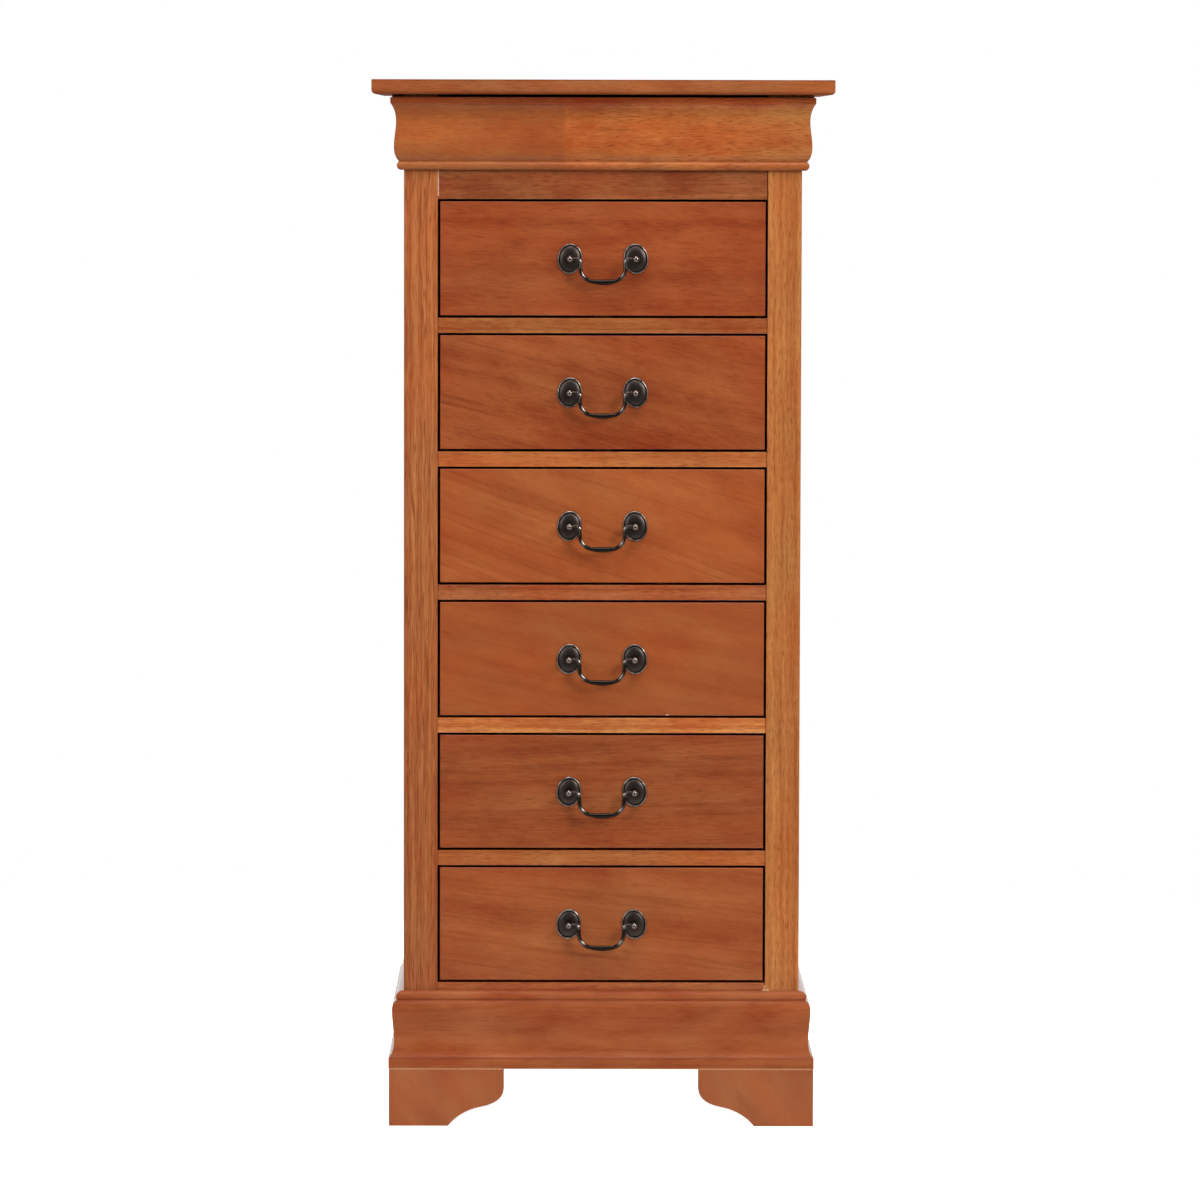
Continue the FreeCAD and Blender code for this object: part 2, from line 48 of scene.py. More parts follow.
def add(tree, kind, settings, inputs):
    """Adds a shader node, sets its properties, and fills its inputs by name or place with values or links.
    A node given as an input is linked from its first live output."""
    made = tree.nodes.new("ShaderNode" + kind)
    for key, value in settings.items():
        setattr(made, key, value)
    for key, value in inputs.items():
        socket = made.inputs[key]
        if isinstance(key, str):
            socket = next(s for s in made.inputs if s.enabled and s.name == key)
        if isinstance(value, bpy.types.Node):
            value = next(s for s in value.outputs if s.enabled)
        if isinstance(value, bpy.types.NodeSocket):
            tree.links.new(value, socket)
        else:
            socket.default_value = value
    return made


def new_material(name):
    """An empty material, and its node tree."""
    material = bpy.data.materials.new(name)
    material.use_nodes = True
    material.node_tree.nodes.clear()
    return material, material.node_tree


def dress(material, *names):
    """Puts a material in every slot of the named nodes."""
    for name in names:
        slots = nodes[name].material_slots
        for place in range(len(slots)):
            slots[place].material = material


MM = (1000.0, 1000.0, 1000.0)  # from metres


def board_place(tree, along, through, across):
    """Place on a board in mm: along the grain, through the board and across the grain."""
    place = add(tree, "TexCoord", {}, {}).outputs["Object"]
    mm = add(tree, "VectorMath", {"operation": "MULTIPLY"}, {0: place, 1: MM})
    x, y, z = (
        add(tree, "VectorMath", {"operation": "DOT_PRODUCT"}, {0: mm, 1: tuple(way)}).outputs["Value"]
        for way in (along, through, across)
    )
    return add(tree, "CombineXYZ", {}, {"X": x, "Y": y, "Z": z})


def stained_wood(
    name, ground, grain, heart, depth, taper,
    wave=17.0, contrast=1.0, bands=0.24, rings=0.18, streaks=0.18, warmth=1.0, lines=0.3, veins=0.0,
    pores=0.5, fine=1.0, coat=1.0, seed=0.0,
):
    """Red-brown stained hardwood under satin lacquer. grain is the way along the board and the way across it.
    The board is cut from a log whose heart line lies at heart mm across and depth mm behind the face, and
    comes nearer by taper along the grain, so noise of the distance to that line makes straight, sloping or
    arched figure. wave is how far the grain wanders in mm. bands, rings and streaks are their shares of the
    figure, and what they leave goes to cloudy stain. warmth is how far the stain drifts between red and gold.
    lines, veins and pores are how dark those are. fine narrows the streaks and lengthens the fibres and pores
    by that factor, and coat is how much of the lacquer's sheen is left."""
    material, tree = new_material(name)
    along, across = grain
    board = board_place(tree, along, np.cross(along, across), across)
    ways = add(tree, "SeparateXYZ", {}, {0: board}).outputs

    # Noise layers by their length and width in mm. Fibres and pores are drawn two or three times as coarse
    # as real ones, so that they show.
    layers = {}
    for kind, length, width, detail in (
        ("wander", 300, 70, 2.0), ("ripple", 60, 22, 2.0), ("streaks", 160, 4.5 / fine, 2.0),
        ("fibres", 14 * fine, 1.8, 3.0), ("clouds", 80, 32, 3.0), ("warmth", 140, 50, 2.0),
        ("veins", 420, 26, 2.0), ("pores", 12 * fine, 1.1, 2.0),
    ):
        spot = add(tree, "VectorMath", {"operation": "MULTIPLY_ADD"}, {
            0: board, 1: (1 / length, 1 / width, 1 / width), 2: (seed * 3.17, seed * 1.73, seed * 5.39),
        })
        layers[kind] = add(tree, "TexNoise", {}, {"Vector": spot, "Scale": 1.0, "Detail": detail})

    # Distance to the heart line, bent by the wander and by ripples of a few mm
    bend = add(tree, "Math", {"operation": "MULTIPLY_ADD"}, {0: layers["wander"], 1: 2 * wave, 2: -wave})
    bend = add(tree, "Math", {"operation": "MULTIPLY_ADD"}, {0: layers["ripple"], 1: 9.0, 2: bend})
    rise = add(tree, "Math", {"operation": "MULTIPLY_ADD"}, {0: ways["X"], 1: taper, 2: bend})
    rise = add(tree, "Math", {"operation": "ADD"}, {0: rise, 1: depth})
    off = add(tree, "Math", {"operation": "ADD"}, {0: ways["Z"], 1: bend})
    off = add(tree, "Math", {"operation": "SUBTRACT"}, {0: off, 1: heart})
    radius = add(tree, "CombineXYZ", {}, {"X": rise, "Y": off})
    radius = add(tree, "VectorMath", {"operation": "LENGTH"}, {0: radius}).outputs["Value"]

    # Growth rings about 6 mm apart inside bands about 30 mm wide, then the streaks, fibres and clouds
    tone = 0.0
    for size, share in ((6.0, rings), (30.0, bands)):
        ring = add(tree, "Math", {"operation": "MULTIPLY_ADD"}, {0: radius, 1: 1 / size, 2: seed * 7.3})
        ring = add(tree, "TexNoise", {"noise_dimensions": "1D"}, {"W": ring, "Scale": 1.0, "Detail": 2.0})
        tone = add(tree, "Math", {"operation": "MULTIPLY_ADD"}, {0: ring, 1: share, 2: tone})
    fibres = 0.22
    clouds = 1 - fibres - bands - rings - streaks
    for kind, share in (("streaks", streaks), ("fibres", fibres), ("clouds", clouds)):
        tone = add(tree, "Math", {"operation": "MULTIPLY_ADD"}, {0: layers[kind], 1: share, 2: tone})
    spread = 0.15 / contrast
    tone = add(tree, "MapRange", {}, {"Value": tone, "From Min": 0.5 - spread, "From Max": 0.5 + spread})
    # The dark of the grain takes the stain redder, and the light shows golden
    middle = linear(ground)
    colour = add(tree, "Mix", {"data_type": "RGBA"}, {
        "Factor": tone, "A": tint(middle, (0.74, 0.55, 0.50)), "B": tint(middle, (1.24, 1.50, 1.60)),
    })
    warm = add(tree, "MapRange", {}, {"Value": layers["warmth"], "From Min": 0.32, "From Max": 0.68})
    drift = warmth * np.array((-0.03, 0.12, 0.20))
    warm = add(tree, "Mix", {"data_type": "RGBA"}, {
        "Factor": warm, "A": (*(1 - drift), 1.0), "B": (*(1 + drift), 1.0),
    })
    colour = add(tree, "Mix", {"data_type": "RGBA", "blend_type": "MULTIPLY"}, {
        "Factor": 1.0, "A": colour, "B": warm,
    })

    # Thin dark lines: late wood about every 18 mm, veins that wander, and pores that are short dashes
    line = add(tree, "Math", {"operation": "MULTIPLY_ADD"}, {0: radius, 1: 1 / 18, 2: seed * 2.9})
    line = add(tree, "TexNoise", {"noise_dimensions": "1D"}, {"W": line, "Scale": 1.0, "Detail": 1.0})
    for source, reach, dark in ((line, 0.035, lines), (layers["veins"], 0.022, veins)):
        near = add(tree, "Math", {"operation": "SUBTRACT"}, {0: source, 1: 0.5})
        near = add(tree, "Math", {"operation": "ABSOLUTE"}, {0: near})
        near = add(tree, "MapRange", {}, {"Value": near, "From Max": reach, "To Min": dark, "To Max": 0.0})
        broken = add(tree, "MapRange", {}, {"Value": layers["streaks"], "From Min": 0.40, "From Max": 0.62})
        near = add(tree, "Math", {"operation": "MULTIPLY"}, {0: near, 1: broken})
        colour = add(tree, "Mix", {"data_type": "RGBA"}, {
            "Factor": near, "A": colour, "B": tint(middle, (0.52, 0.36, 0.32)),
        })
    dashes = add(tree, "MapRange", {}, {"Value": layers["pores"], "From Min": 0.54, "From Max": 0.68})
    darker = add(tree, "Math", {"operation": "MULTIPLY"}, {0: dashes, 1: pores})
    colour = add(tree, "Mix", {"data_type": "RGBA"}, {
        "Factor": darker, "A": colour, "B": tint(middle, (0.42, 0.31, 0.27)),
    })

    # Satin lacquer that sinks a little into the pores. It mirrors little from the front, and much along
    # a face.
    rough = add(tree, "MapRange", {}, {"Value": layers["fibres"], "To Min": 0.40, "To Max": 0.56})
    height = add(tree, "Math", {"operation": "SUBTRACT"}, {0: layers["fibres"], 1: dashes})
    bump = add(tree, "Bump", {}, {"Height": height, "Strength": 0.25, "Distance": 0.00012})
    skin = add(tree, "BsdfPrincipled", {}, {
        "Base Color": colour, "Roughness": rough, "Normal": bump, "Specular IOR Level": 0.05 * coat,
        "Coat Weight": coat, "Coat Roughness": 0.16, "Coat IOR": 1.25,
    })
    add(tree, "OutputMaterial", {}, {"Surface": skin})
    return material


FAR = 2000.0  # mm, past every face of the chest
WHOLE = (-FAR, FAR)


def cover(material, factor, over, socket="Base Color", blend="MIX"):
    """Blends a colour over a material's own by a factor, or a number over what another socket has."""
    tree = material.node_tree
    skin = next(node for node in tree.nodes if node.type == "BSDF_PRINCIPLED")
    under = skin.inputs[socket].links[0].from_socket
    kind = "RGBA" if socket == "Base Color" else "FLOAT"
    both = add(tree, "Mix", {"data_type": kind, "blend_type": blend}, {
        "Factor": factor, "A": under, "B": over,
    })
    tree.links.new(next(s for s in both.outputs if s.enabled), skin.inputs[socket])


def patch(material, colour, soft, x=WHOLE, y=WHOLE, z=WHOLE, amount=1.0, ragged=0.0, blend="MULTIPLY"):
    """Blends a colour over the box between three ranges in mm, or with MULTIPLY scales each channel by it
    there. The box's faces fade over soft mm to both sides, and noise tears them by up to ragged mm."""
    tree = material.node_tree
    low, high = np.array((x, y, z)).T
    middle = (low + high) / 2
    half = (high - low) / 2
    place = add(tree, "TexCoord", {}, {}).outputs["Object"]
    away = add(tree, "VectorMath", {"operation": "MULTIPLY_ADD"}, {0: place, 1: MM, 2: tuple(-middle)})
    away = add(tree, "VectorMath", {"operation": "ABSOLUTE"}, {0: away})
    away = add(tree, "VectorMath", {"operation": "SUBTRACT"}, {0: away, 1: tuple(half)})
    sides = add(tree, "SeparateXYZ", {}, {0: away}).outputs
    far = add(tree, "Math", {"operation": "MAXIMUM"}, {0: sides["X"], 1: sides["Y"]})
    far = add(tree, "Math", {"operation": "MAXIMUM"}, {0: far, 1: sides["Z"]})
    if ragged:
        tear = add(tree, "TexNoise", {}, {"Vector": place, "Scale": 1000 / (4 * ragged), "Detail": 2.0})
        tear = add(tree, "Math", {"operation": "MULTIPLY_ADD"}, {0: tear, 1: 4 * ragged, 2: -2 * ragged})
        far = add(tree, "Math", {"operation": "ADD"}, {0: far, 1: tear})
    mask = add(tree, "MapRange", {}, {
        "Value": far, "From Min": -soft, "From Max": soft, "To Min": amount, "To Max": 0.0,
    })
    cover(material, mask, (*colour[:3], 1.0), blend=blend)


UPRIGHT = ((0, 0, 1), (1, 0, 0))
left_post_wood = stained_wood(
    "stained_cherry_left_post", "#a55f34", UPRIGHT, heart=330, depth=40, taper=0.02,
    wave=5.0, contrast=1.6, streaks=0.30, warmth=0.7, lines=0.35, veins=0.8, pores=0.7, fine=2.0, seed=4.0)
right_post_wood = stained_wood(
    "stained_cherry_right_post", "#ac6937", UPRIGHT, heart=-330, depth=40, taper=0.02,
    wave=5.0, contrast=1.1, streaks=0.24, warmth=0.7, lines=0.15, pores=0.7, seed=5.0)
# The left one is darker towards its foot
darker_below = 480.0
patch(left_post_wood, (0.80, 0.70, 0.68), soft=430.0, z=(-FAR, darker_below))
dress(left_post_wood, "post_left")
dress(right_post_wood, "post_right")


# Side panels
# Wide boards faced with veneer whose grain makes tall arches, tongued into the posts at the front.
# They have the same stain and lacquer as the posts.
side_wood = stained_wood(
    "stained_cherry_sides", "#9f5a31", ((0, 0, 1), (0, 1, 0)), heart=40, depth=60, taper=0.09,
    contrast=1.1, rings=0.22, streaks=0.10, pores=0.5, coat=0.4, seed=6.0)
dress(side_wood, "side_panel_left", "side_panel_right")


# Rails
# Solid rails tenoned into the posts, one under each drawer and a wide one under the crown.
# Each is cut from another board, so their tones differ, and the wide top rail has a darker ground as painted
# shade from the crown above it.

def edges(name):
    """A node's lowest and highest corner in mm."""
    return [np.array(corner) * 1000 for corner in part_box(name)]


LEVEL = ((1, 0, 0), (0, 0, 1))
drawer_numbers = range(1, 7)
rail_wood = stained_wood(
    "stained_cherry_rails", "#a85e32", LEVEL, heart=1900, depth=60, taper=0.02,
    wave=5.0, contrast=1.4, streaks=0.12, pores=0.6, seed=7.0)
rail_tones = (
    (0.82, 0.82, 0.82), (1.06, 0.98, 0.88), (0.88, 0.82, 0.93),
    (1.34, 1.51, 1.46), (0.88, 0.81, 0.74), (0.88, 0.78, 0.78),
)
rail_tops = [edges(f"drawer_{number}_front")[0][2] for number in drawer_numbers]
rail_bottoms = [edges(f"drawer_{number}_front")[1][2] for number in drawer_numbers[1:]] + [-FAR]
for tone, bottom, top in zip(rail_tones, rail_bottoms, rail_tops):
    patch(rail_wood, tone, soft=2.0, z=(bottom, top))
# The first runs from gold on the left to red on the right
red_from = 75.0
first_rail = (rail_bottoms[0], FAR)
patch(rail_wood, (1.08, 1.24, 1.16), soft=40.0, x=(-FAR, red_from), z=first_rail, ragged=20.0)
patch(rail_wood, (0.95, 0.88, 0.88), soft=40.0, x=(red_from, FAR), z=first_rail)
# Painted shade: the darker ground of the top rail stands in for the shadow of the crown over it
top_rail_wood = stained_wood(
    "stained_cherry_top_rail_painted_shade", "#8e4d2a", LEVEL, heart=1300, depth=60, taper=0.05,
    wave=9.0, contrast=1.5, rings=0.12, streaks=0.10, pores=0.6, seed=8.0)
dress(rail_wood, "drawer_rails")
dress(top_rail_wood, "top_rail")
# The joints with the posts show as fine dark lines, and at the left of the top rail as a cream line of filler
inner_left = edges("post_left")[1][0]
inner_right = edges("post_right")[0][0]
joint = 1.2
for wood in (rail_wood, top_rail_wood):
    for line, dark in (((inner_left, inner_left + joint), 0.5), ((inner_right - joint, inner_right), 0.8)):
        patch(wood, (0.40, 0.34, 0.32), soft=0.5, x=line, amount=dark)
filler_foot = 1146.0
patch(
    top_rail_wood, linear("#d8bfb0"), soft=0.4, x=(inner_left - 1, inner_left + joint), z=(filler_foot, FAR),
    amount=0.8, ragged=0.5, blend="MIX")
patch(top_rail_wood, (0.45, 0.40, 0.38), soft=0.4, x=(inner_right - 1.5, inner_right))
# Bare wood shows in a chip over the base, at the right end of the lowest rail, and up the joint there
bare = linear("#e4c9a0")
base_head = edges("base_front")[1][2]
for left, right, height in ((-3.0, 5.0, 1.6), (-1.4, 0.0, 6.0)):
    for wood in (rail_wood, right_post_wood):
        patch(
            wood, bare, soft=0.6, amount=0.85, ragged=0.6, blend="MIX",
            x=(inner_right + left, inner_right + right), z=(base_head, base_head + height))


# Floor board, centre rails and glide tacks
# Thin plywood closes the case below. The runners under the drawers are pale hardwood, sealed and unstained.
# The drawers' sides slide on moulded nylon tacks, driven into the rails.

def plain_wood(name, ground, grain, contrast, rough, deep=1.0):
    """Unstained wood: streaks along the grain and fine fibres over one pale ground. deep is 0 where boards
    turn a corner and the grain runs on around it, so that it doesn't change through the board."""
    material, tree = new_material(name)
    along, across = grain
    board = board_place(tree, along, deep * np.cross(along, across), across)
    # Streaks about 9 mm wide and 240 mm long, and fibres drawn coarser than real ones
    layers = {}
    for kind, length, width in (("streaks", 240, 9), ("fibres", 40, 1.4), ("pores", 9, 1.0)):
        spot = add(tree, "VectorMath", {"operation": "MULTIPLY"}, {
            0: board, 1: (1 / length, 1 / width, 1 / width),
        })
        layers[kind] = add(tree, "TexNoise", {}, {
            "Vector": spot, "Scale": 1.0, "Detail": 3.0, "Distortion": 0.3,
        })
    tone = add(tree, "Math", {"operation": "MULTIPLY_ADD"}, {
        0: layers["streaks"], 1: 1.4, 2: layers["fibres"],
    })
    tone = add(tree, "MapRange", {}, {"Value": tone, "From Min": 0.8, "From Max": 1.6})
    middle = linear(ground)
    colour = add(tree, "Mix", {"data_type": "RGBA"}, {
        "Factor": tone, "A": tint(middle, 1 - contrast * np.array((0.30, 0.38, 0.45))),
        "B": tint(middle, 1 + contrast * np.array((0.16, 0.16, 0.16))),
    })
    flecks = add(tree, "MapRange", {}, {
        "Value": layers["pores"], "From Min": 0.60, "From Max": 0.72, "To Max": 0.35 * contrast,
    })
    colour = add(tree, "Mix", {"data_type": "RGBA"}, {
        "Factor": flecks, "A": colour, "B": tint(middle, (0.45, 0.36, 0.28)),
    })
    bump = add(tree, "Bump", {}, {"Height": layers["fibres"], "Strength": 0.3, "Distance": 0.0002})
    skin = add(tree, "BsdfPrincipled", {}, {
        "Base Color": colour, "Roughness": rough, "Normal": bump, "Specular IOR Level": 0.35,
    })
    add(tree, "OutputMaterial", {}, {"Surface": skin})
    return material


ROUND_CORNER = ((1, 1, 0), (0, 0, 1))
box_wood = plain_wood("sealed_birch", "#b98f5e", ROUND_CORNER, contrast=1.0, rough=0.55, deep=0.0)
ply_wood = plain_wood("rotary_plywood", "#a87f52", LEVEL, contrast=0.9, rough=0.7)
dress(box_wood, "centre_rails")
dress(ply_wood, "case_floor")
# Nylon: dark brown and waxy, so that the tacks stay hidden in the gaps under the drawers
nylon, tree = new_material("moulded_brown_nylon")
place = add(tree, "TexCoord", {}, {}).outputs["Object"]
cloud = add(tree, "TexNoise", {}, {"Vector": place, "Scale": 1000 / 6, "Detail": 2.0})
colour = add(tree, "Mix", {"data_type": "RGBA"}, {
    "Factor": cloud, "A": linear("#4d3a2a"), "B": linear("#634b37"),
})
rough = add(tree, "MapRange", {}, {"Value": cloud, "To Min": 0.38, "To Max": 0.52})
skin = add(tree, "BsdfPrincipled", {}, {"Base Color": colour, "Roughness": rough})
add(tree, "OutputMaterial", {}, {"Surface": skin})
dress(nylon, "glide_tacks")


# Back panel and its screws
# One sheet of plywood with upright grain, set in rabbets of the sides.
# Zinc plated pan head screws hold it to the sides, the runners and the floor board.
back_ply = plain_wood("rotary_plywood_back", "#a4794b", UPRIGHT, contrast=0.9, rough=0.75)
dress(back_ply, "back_panel")
# Zinc plate: pale grey metal with a faint spangle
zinc, tree = new_material("zinc_plated_steel")
place = add(tree, "TexCoord", {}, {}).outputs["Object"]
spangle = add(tree, "TexVoronoi", {}, {"Vector": place, "Scale": 1000 / 1.5}).outputs["Color"]
grey = add(tree, "RGBToBW", {}, {"Color": spangle})
colour = add(tree, "Mix", {"data_type": "RGBA"}, {
    "Factor": grey, "A": linear("#a9a598"), "B": linear("#c2beb1"),
})
rough = add(tree, "MapRange", {}, {"Value": grey, "To Min": 0.32, "To Max": 0.46})
skin = add(tree, "BsdfPrincipled", {}, {"Base Color": colour, "Metallic": 1.0, "Roughness": rough})
add(tree, "OutputMaterial", {}, {"Surface": skin})
dress(zinc, "back_screws")


# Base moulding and bracket feet
# The base is a run ogee moulding of solid wood, mitred at the front corners and glued around the case.
# Each foot is two sawn brackets mitred at the corner, glued under the moulding and to a block behind.
FRONT_TO_BACK = ((0, 1, 0), (0, 0, 1))
base_ground = "#924b29"
base_figure = {
    "heart": 400, "depth": 60, "taper": 0.03, "wave": 24.0, "contrast": 0.95, "rings": 0.06, "streaks": 0.0,
    "warmth": 0.6, "lines": 0.3, "pores": 0.12,
}
base_wood = stained_wood("stained_cherry_base", base_ground, LEVEL, **base_figure, coat=0.3, seed=2.0)
base_side_wood = stained_wood(
    "stained_cherry_base_sides", base_ground, FRONT_TO_BACK, **base_figure, seed=3.0)
dress(base_wood, "base_front")
dress(base_side_wood, "base_left", "base_right")
lean = radians(-32)
foot_wood = stained_wood(
    "stained_cherry_feet", "#96502a", ((sin(lean), 0, cos(lean)), (cos(lean), 0, -sin(lean))),
    heart=500, depth=90, taper=0.03, wave=24.0, contrast=0.5, bands=0.12, rings=0.02, streaks=0.0, lines=0.12,
    pores=0.05, seed=1.0)
dress(foot_wood, "foot_front_left", "foot_front_right", "foot_back_left", "foot_back_right")
# The bead at the head of the moulding is painted paler and whiter, a painted highlight standing in for the
# overhead light on its upward face, and a dark line along the crease over its fillet is painted shade
bead_height = 9.5
fillet_height = 13.5
base_foot = edges("base_front")[0][2]
fillet_z = base_foot + fillet_height
for wood in (base_wood, base_side_wood):
    # Painted highlight on the bead
    patch(wood, (1.15, 1.25, 1.36), soft=1.5, z=(base_head - bead_height, FAR))
    # Painted shade in the crease over the fillet
    patch(wood, (0.62, 0.52, 0.48), soft=0.8, z=(fillet_z - 0.7, fillet_z + 0.7), amount=0.7, ragged=0.5)
# A thread of dried glue shows along the joint between the feet and the moulding
glue = linear("#c9a27a")
for wood in (base_wood, foot_wood):
    patch(wood, glue, soft=0.4, z=(base_foot - 0.8, base_foot + 0.8), amount=0.6, ragged=0.5, blend="MIX")


# Top and crown returns
# The top is a board with rounded lower edges, screwed down from inside. The crown is a tall run moulding
# whose side returns are glued to the case. Both are stained and lacquered, and the top is rubbed duller.
top_wood = stained_wood(
    "stained_cherry_top", "#92502d", ((1, 0, 0), (0, 1, 0)), heart=30, depth=80, taper=0.08,
    contrast=1.1, rings=0.14, streaks=0.10, warmth=1.1, pores=0.35, coat=0.03, seed=9.0)
crown_side_wood = stained_wood(
    "stained_cherry_crown_sides", "#a1572b", FRONT_TO_BACK, heart=1500, depth=70, taper=0.04,
    wave=9.0, contrast=1.3, rings=0.08, streaks=0.08, warmth=1.5, pores=0.5, coat=0.5, seed=11.0)
# The top grows more golden to the right, and stain gathered along its upper edge at the front
golden_from = 70.0
patch(top_wood, (1.08, 1.24, 1.26), soft=120.0, x=(golden_from, FAR))
top_front = edges("top_panel")[0][1]
top_head = edges("top_panel")[1][2]
patch(
    top_wood, (0.55, 0.45, 0.42), soft=0.4, y=(-FAR, top_front + 0.6), z=(top_head - 1.3, FAR),
    amount=0.9, ragged=0.3)
dress(top_wood, "top_panel")
dress(crown_side_wood, "crown_left", "crown_right")


# Drawer boxes
# Sides and backs of the same pale hardwood as the runners, dovetailed to the fronts and sealed.
# Thin plywood bottoms slide into grooves.
dress(box_wood, *(f"drawer_{number}_box" for number in drawer_numbers))
dress(ply_wood, *(f"drawer_{number}_bottom" for number in drawer_numbers))


# Drawer fronts
# Boards faced with veneer, each from another sheet, so the slope of the grain and the tone change from one to
# the next. The stain is redder towards the edges, where it was wiped less.
border_x = 26.0
border_z = 18.0
# Ground, slope of the grain in degrees, contrast, dark of the lines and share of the streaks, from the top
veneers = (
    ("#904422", 4.0, 1.0, 0.2, 0.02), ("#904623", 15.0, 1.0, 0.45, 0.02), ("#9d4f27", 21.0, 0.7, 0.4, 0.02),
    ("#964b25", 14.0, 0.55, 0.1, 0.0), ("#904825", 1.0, 1.0, 0.5, 0.14), ("#944b26", 9.0, 0.75, 0.35, 0.02),
)
for number, (ground, slope, contrast, lines, streaks) in zip(drawer_numbers, veneers):
    turn = radians(slope)
    low, high = edges(f"drawer_{number}_front")
    across = np.array((sin(turn), 0, cos(turn)))
    front_wood = stained_wood(
        f"stained_cherry_drawer_{number}", ground, ((cos(turn), 0, -sin(turn)), across),
        heart=float(across @ (low + high) / 2) + 230, depth=120, taper=0.10,
        contrast=contrast, rings=0.07, streaks=streaks, warmth=0.6, lines=lines,
        pores=0.32 * contrast, seed=11.0 + number)
    patch(
        front_wood, (1.02, 1.09, 1.08), soft=24.0,
        x=(low[0] + border_x, high[0] - border_x), z=(low[2] + border_z, high[2] - border_z))
    if number < 3:
        # The first two run redder to the right
        patch(front_wood, (0.98, 0.92, 0.88), soft=90.0, x=(0.0, FAR))
    if number == 1:
        # A dark cloud in the veneer on the left
        patch(
            front_wood, (0.84, 0.76, 0.72), soft=16.0, x=(-158.0, -92.0), z=(high[2] - 74, high[2] - 42),
            ragged=11.0)
    if number == 4:
        # A chip at the lower edge
        patch(
            front_wood, bare, soft=0.4, x=(79.0, 82.4), z=(low[2], low[2] + 1.2),
            amount=0.9, ragged=0.4, blend="MIX")
    dress(front_wood, f"drawer_{number}_front")


# Pulls
# Cast brass plates and posts with swinging bails, chemically darkened and rubbed back, so the rims and the
# high points are bright. Screws through the fronts hold the posts.
bail_pivot = next(
    hinge for hinge in frame["record"]["behaviour"]["joints"] if hinge["name"] == "bail_6_swing")["pos_m"]
pitch = edges("drawer_5_front")[0][2] - edges("drawer_6_front")[0][2]
plate_width = 29.9
plate_height = 36.8
plate_lean = radians(8)
plate_reach = np.hypot(plate_width / 2 * cos(plate_lean), plate_height / 2 * sin(plate_lean))
plate_x = edges("drawer_6_pull_plates")[1][0] - plate_reach


def antiqued_brass(name, field, rough):
    """Dark brown patina over cast brass, clouded over a few mm. Gives the material, the place on one pull in
    mm from the bail's pivot, with both halves and all drawers folded together, and the clouds."""
    material, tree = new_material(name)
    place = add(tree, "TexCoord", {}, {}).outputs["Object"]
    away = add(tree, "VectorMath", {"operation": "MULTIPLY_ADD"}, {
        0: place, 1: MM, 2: tuple(-1000 * value for value in bail_pivot),
    })
    x, y, z = add(tree, "SeparateXYZ", {}, {0: away}).outputs
    half = add(tree, "Math", {"operation": "ABSOLUTE"}, {0: x})
    fold = add(tree, "Math", {"operation": "ADD"}, {0: z, 1: pitch / 2})
    fold = add(tree, "Math", {"operation": "FLOORED_MODULO"}, {0: fold, 1: pitch})
    fold = add(tree, "Math", {"operation": "SUBTRACT"}, {0: fold, 1: pitch / 2})
    spot = add(tree, "CombineXYZ", {}, {"X": half, "Y": y, "Z": fold})
    cloud = add(tree, "TexNoise", {}, {"Vector": place, "Scale": 1000 / 5, "Detail": 3.0})
    dark = linear(field)
    patina = add(tree, "Mix", {"data_type": "RGBA"}, {
        "Factor": cloud, "A": tint(dark, (0.72, 0.70, 0.68)), "B": tint(dark, (1.28, 1.28, 1.28)),
    })
    gloss = add(tree, "MapRange", {}, {"Value": cloud, "To Min": rough - 0.07, "To Max": rough + 0.07})
    skin = add(tree, "BsdfPrincipled", {}, {"Base Color": patina, "Metallic": 1.0, "Roughness": gloss})
    add(tree, "OutputMaterial", {}, {"Surface": skin})
    return material, spot, cloud


def rub(material, wear):
    """Wears the patina down to bright, smooth metal by the factor wear."""
    cover(material, wear, linear("#b4aea8"))
    cover(material, wear, 0.16, socket="Roughness")


# Plates: a bright worn bead along the rim, and a black line in the groove inside it. ring is 1 at the edge.
plate_brass, spot, cloud = antiqued_brass("antiqued_brass_plates", "#443c39", 0.40)
tree = plate_brass.node_tree
spot = add(tree, "VectorMath", {"operation": "SUBTRACT"}, {0: spot, 1: (plate_x, 0.0, 0.0)})
axes = (
    Vector((cos(plate_lean), 0.0, sin(plate_lean))) * 2 / plate_width,
    Vector((-sin(plate_lean), 0.0, cos(plate_lean))) * 2 / plate_height,
)
u, v = (
    add(tree, "VectorMath", {"operation": "DOT_PRODUCT"}, {0: spot, 1: axis}).outputs["Value"]
    for axis in axes
)
ring = add(tree, "CombineXYZ", {}, {"X": u, "Y": v})
ring = add(tree, "VectorMath", {"operation": "LENGTH"}, {0: ring}).outputs["Value"]
rim = add(tree, "MapRange", {"interpolation_type": "SMOOTHSTEP"}, {
    "Value": ring, "From Min": 0.91, "From Max": 0.96,
})
worn = add(tree, "MapRange", {}, {
    "Value": cloud, "From Min": 0.34, "From Max": 0.66, "To Min": 0.1, "To Max": 0.75,
})
rub(plate_brass, add(tree, "Math", {"operation": "MULTIPLY"}, {0: rim, 1: worn}))
groove_ring = 0.865
groove = add(tree, "Math", {"operation": "SUBTRACT"}, {0: ring, 1: groove_ring})
groove = add(tree, "Math", {"operation": "ABSOLUTE"}, {0: groove})
groove = add(tree, "MapRange", {}, {"Value": groove, "From Max": 0.035, "To Min": 0.9, "To Max": 0.0})
blackened = linear("#17130f")
cover(plate_brass, groove, blackened)

